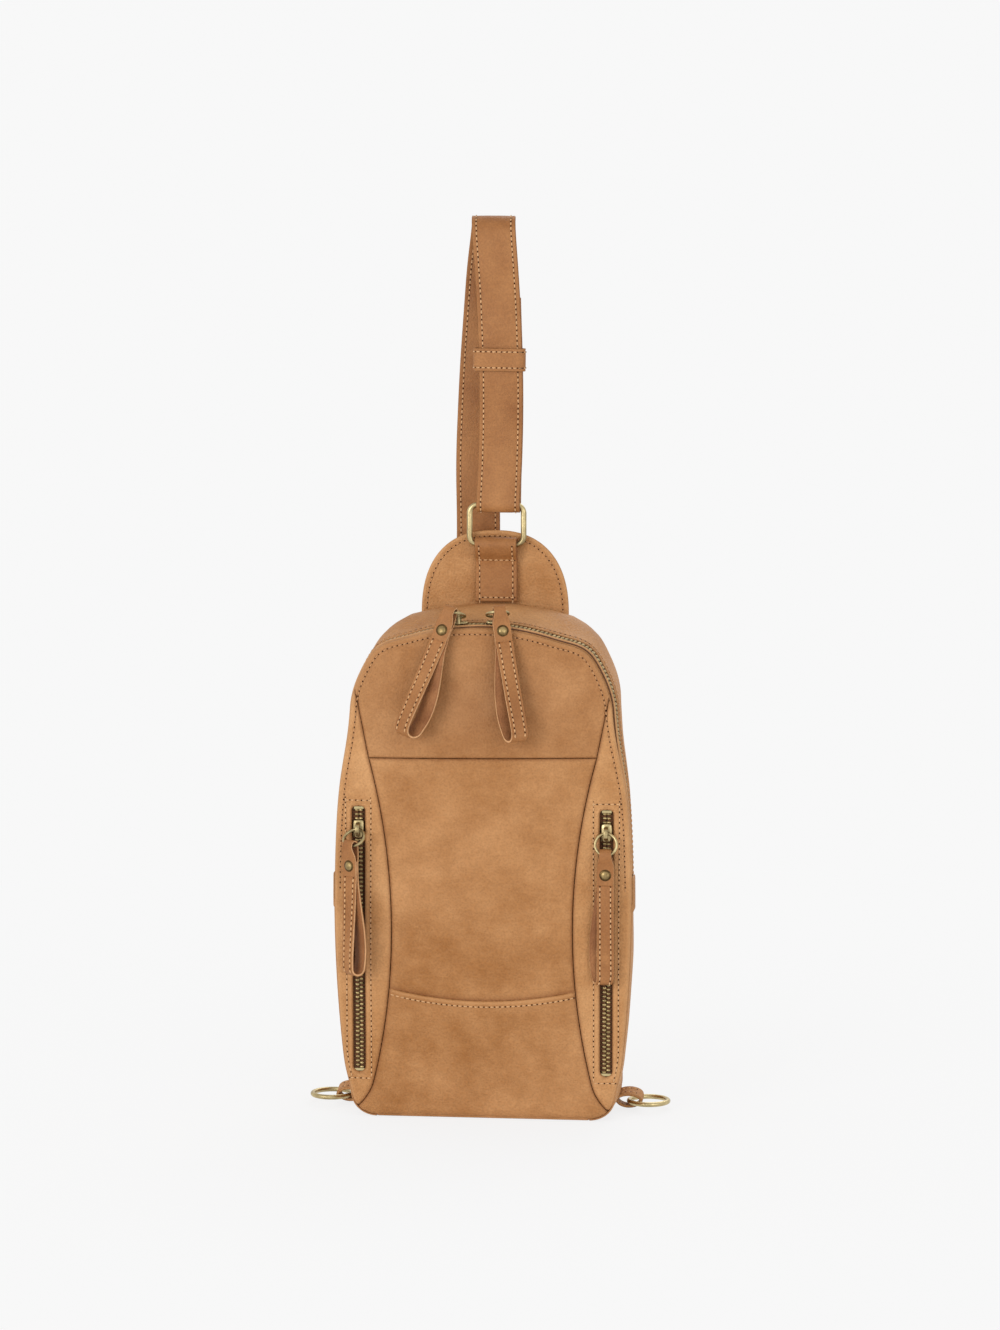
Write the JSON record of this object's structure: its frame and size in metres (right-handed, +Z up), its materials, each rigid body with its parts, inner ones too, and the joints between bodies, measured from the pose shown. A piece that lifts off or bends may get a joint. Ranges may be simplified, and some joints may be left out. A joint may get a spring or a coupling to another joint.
{
  "type": "sling bag",
  "caption": "Leather sling bag with an arched zip opening, zipped front pockets, leather zip pulls and a clip-on shoulder strap hung from a rectangular ring.",
  "frame": {"origin": "middle of the flat base", "axes": "+Z up along the strap, front of the bag towards -Y, +X to the viewer's right when facing the front"},
  "size_m": [0.225, 0.1112, 0.55],
  "materials": {
    "leather": "soft waxed",
    "zip_tape": "woven",
    "brass": "antique",
    "lining": "woven",
    "foam": "open cell",
    "board": "matt"
  },
  "bodies": {
    "strap": {"strap": "leather", "strap_end_rivet": "brass"},
    "strap_keeper": {"strap_keeper": "leather"},
    "strap_ring": {"strap_ring": "brass"},
    "bag": {"front_yoke": "leather", "front_centre_panel": "leather", "front_lower_panel": "leather", "left_side_panel": "leather", "right_side_panel": "leather", "front_binding": "leather", "left_gusset": "leather", "right_gusset": "leather", "top_gusset": "leather", "base_panel": "leather", "back_panel": "leather", "top_tab": "leather", "strap_anchor": "leather", "back_foam": "foam", "base_board": "board", "front_lining": "lining", "back_lining": "lining", "gusset_lining": "lining", "left_pocket_lining": "lining", "right_pocket_lining": "lining", "main_zip_front_tape": "zip_tape", "main_zip_rear_tape": "zip_tape", "main_zip_front_teeth": "brass", "main_zip_rear_teeth": "brass", "main_zip_end_covers": "leather", "left_zip_tapes": "zip_tape", "right_zip_tapes": "zip_tape", "left_zip_teeth": "brass", "right_zip_teeth": "brass", "pocket_zip_stops": "brass", "left_ring_tab": "leather", "right_ring_tab": "leather"},
    "left_main_slider": {"left_main_slider": "brass"},
    "left_main_pull_ring": {"left_main_pull_ring": "brass"},
    "left_main_pull": {"left_main_pull": "leather", "left_main_rivet": "brass"},
    "right_main_slider": {"right_main_slider": "brass"},
    "right_main_pull_ring": {"right_main_pull_ring": "brass"},
    "right_main_pull": {"right_main_pull": "leather", "right_main_rivet": "brass"},
    "left_pocket_slider": {"left_pocket_slider": "brass"},
    "left_pocket_pull_ring": {"left_pocket_pull_ring": "brass"},
    "left_pocket_pull": {"left_pocket_pull": "leather", "left_pocket_rivet": "brass"},
    "right_pocket_slider": {"right_pocket_slider": "brass"},
    "right_pocket_pull_ring": {"right_pocket_pull_ring": "brass"},
    "right_pocket_pull": {"right_pocket_pull": "leather", "right_pocket_rivet": "brass"},
    "left_lower_ring": {"left_lower_ring": "brass"},
    "right_lower_ring": {"right_lower_ring": "brass"},
    "clip_eye": {"clip_eye": "brass"},
    "clip_hook": {"clip_hook": "brass"},
    "clip_gate": {"clip_gate": "brass"}
  },
  "joints": [
    {"name": "keeper_slide", "type": "slide", "parent": "strap", "child": "strap_keeper", "axis": [-0.0186, 0, 0.9998], "range_m": [-0.055, 0.025]},
    {"name": "ring_swing", "type": "hinge", "parent": "strap", "child": "strap_ring", "pos_m": [0.0016, 0.0303, 0.3722], "axis": [-1, 0, 0], "range_deg": [0, 30]},
    {"name": "bag_swing", "type": "hinge", "parent": "strap_ring", "child": "bag", "pos_m": [0.0016, 0.0303, 0.3477], "axis": [-1, 0, 0], "range_deg": [0, 40]},
    {"name": "left_main_slider_travel", "type": "hinge", "parent": "bag", "child": "left_main_slider", "pos_m": [0, -0.0252, 0.166], "axis": [0, -1, 0], "range_deg": [0, 11]},
    {"name": "right_main_slider_travel", "type": "hinge", "parent": "bag", "child": "right_main_slider", "pos_m": [0, -0.0252, 0.166], "axis": [0, 1, 0], "range_deg": [0, 14]},
    {"name": "left_pocket_slider_travel", "type": "slide", "parent": "bag", "child": "left_pocket_slider", "axis": [0, 0, -1], "range_m": [-0.004, 0.138]},
    {"name": "right_pocket_slider_travel", "type": "slide", "parent": "bag", "child": "right_pocket_slider", "axis": [0, 0, -1], "range_m": [-0.004, 0.138]},
    {"name": "left_main_ring_swing", "type": "hinge", "parent": "left_main_slider", "child": "left_main_pull_ring", "pos_m": [-0.01562, -0.0252, 0.30865], "axis": [-0.9511, 0.309, 0], "range_deg": [0, 65]},
    {"name": "left_main_pull_swing", "type": "hinge", "parent": "left_main_pull_ring", "child": "left_main_pull", "pos_m": [-0.01945, -0.037, 0.31316], "axis": [-0.9511, 0.309, 0], "range_deg": [0, 35]},
    {"name": "right_main_ring_swing", "type": "hinge", "parent": "right_main_slider", "child": "right_main_pull_ring", "pos_m": [0.00729, -0.0252, 0.30932], "axis": [-0.9613, -0.2756, 0], "range_deg": [0, 65]},
    {"name": "right_main_pull_swing", "type": "hinge", "parent": "right_main_pull_ring", "child": "right_main_pull", "pos_m": [0.01071, -0.03712, 0.31383], "axis": [-0.9613, -0.2756, 0], "range_deg": [0, 35]},
    {"name": "left_pocket_ring_swing", "type": "hinge", "parent": "left_pocket_slider", "child": "left_pocket_pull_ring", "pos_m": [-0.076, -0.0385, 0.179], "axis": [-0.9397, 0.342, 0], "range_deg": [0, 80]},
    {"name": "left_pocket_pull_swing", "type": "hinge", "parent": "left_pocket_pull_ring", "child": "left_pocket_pull", "pos_m": [-0.07935, -0.04772, 0.17017], "axis": [-0.9397, 0.342, 0], "range_deg": [0, 35]},
    {"name": "right_pocket_ring_swing", "type": "hinge", "parent": "right_pocket_slider", "child": "right_pocket_pull_ring", "pos_m": [0.076, -0.0385, 0.179], "axis": [-1, 0, 0], "range_deg": [0, 90]},
    {"name": "right_pocket_pull_swing", "type": "hinge", "parent": "right_pocket_pull_ring", "child": "right_pocket_pull", "pos_m": [0.076, -0.04214, 0.16631], "axis": [-1, 0, 0], "range_deg": [0, 35]},
    {"name": "left_lower_ring_swing", "type": "hinge", "parent": "bag", "child": "left_lower_ring", "pos_m": [-0.087, 0.006, 0.005], "axis": [0, 1, 0], "range_deg": [-70, 70]},
    {"name": "right_lower_ring_swing", "type": "hinge", "parent": "bag", "child": "right_lower_ring", "pos_m": [0.087, 0.006, 0.005], "axis": [0, -1, 0], "range_deg": [-70, 70]},
    {"name": "clip_swing", "type": "hinge", "parent": "strap", "child": "clip_eye", "pos_m": [-0.02543, 0.0503, 0.13], "axis": [1, 0, 0], "range_deg": [-8, 45]},
    {"name": "hook_swivel", "type": "hinge", "parent": "clip_eye", "child": "clip_hook", "pos_m": [-0.02543, 0.0503, 0.11225], "axis": [0, 0, 1], "continuous": true},
    {"name": "gate_open", "type": "hinge", "parent": "clip_hook", "child": "clip_gate", "pos_m": [-0.02143, 0.0503, 0.10698], "axis": [0, 1, 0], "range_deg": [0, 30], "stiffness_Nm_per_rad": 0.01}
  ]
}
